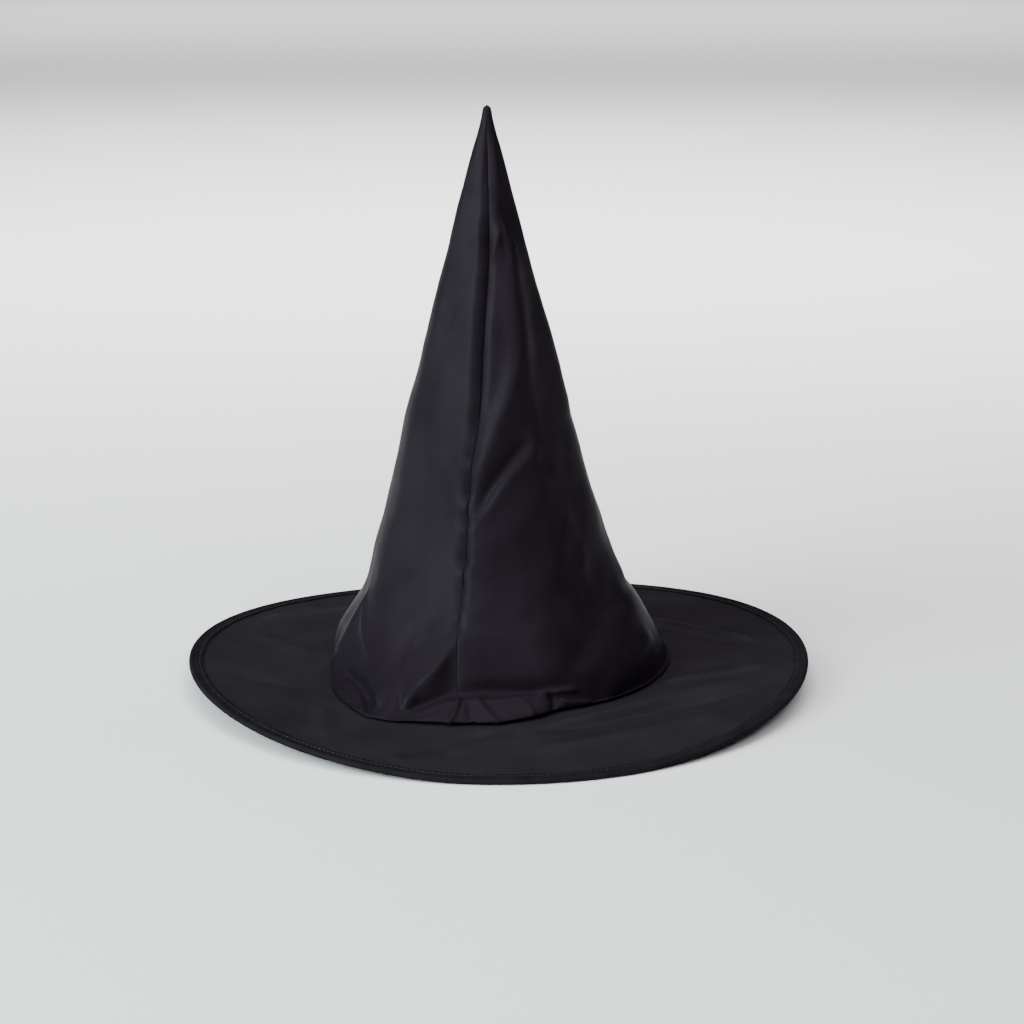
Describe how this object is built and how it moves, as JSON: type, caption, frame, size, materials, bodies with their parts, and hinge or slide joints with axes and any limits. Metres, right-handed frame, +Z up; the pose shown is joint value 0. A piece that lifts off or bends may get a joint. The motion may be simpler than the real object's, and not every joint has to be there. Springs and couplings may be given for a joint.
{
  "type": "witch hat",
  "caption": "Tall pointed costume hat with a rolled cloth cone, a wide flexible brim on a wire hoop, a bound edge and an inner sweatband; the soft tip bends.",
  "frame": {"origin": "centre of the brim's footprint on the surface that the hat stands on", "axes": "+Z up along the crown, -Y towards the side with the crown's seam, +X to the right of that side"},
  "size_m": [0.38, 0.38, 0.3472],
  "materials": {
    "crown_satin": "near-black polyester satin with a soft sheen, smooth side out",
    "brim_satin": "near-black polyester satin with a soft sheen",
    "binding_tape": "black bias tape, plain weave, slightly duller than the satin",
    "sewing_thread": "black spun polyester thread",
    "band_ribbon": "black ribbed grosgrain ribbon",
    "interlining": "charcoal non-woven stiffener, matte and fibrous",
    "hoop_wire": "drawn spring-steel wire",
    "crimp_sleeve": "plain crimped tube"
  },
  "bodies": {
    "root": {"brim_top_panel": "brim_satin", "brim_under_panel": "brim_satin", "rim_wire": "hoop_wire", "rim_wire_sleeve": "crimp_sleeve", "rim_binding": "binding_tape", "rim_needle_thread": "sewing_thread", "rim_bobbin_thread": "sewing_thread", "crown_panel": "crown_satin", "crown_fold_panel": "crown_satin", "crown_interlining": "interlining", "crown_seam_thread": "sewing_thread", "join_thread": "sewing_thread", "sweatband": "band_ribbon", "sweatband_thread": "sewing_thread"},
    "crown_tip": {"crown_tip_panel": "crown_satin", "crown_tip_thread": "sewing_thread"}
  },
  "joints": [
    {"name": "crown_tip_bend", "type": "hinge", "parent": "root", "child": "crown_tip", "pos_m": [-0.00647, 0, 0.274], "axis": [1, 0, 0], "range_deg": [-75, 75], "stiffness_Nm_per_rad": 0.004, "deforming": ["crown_fold_panel"]}
  ]
}
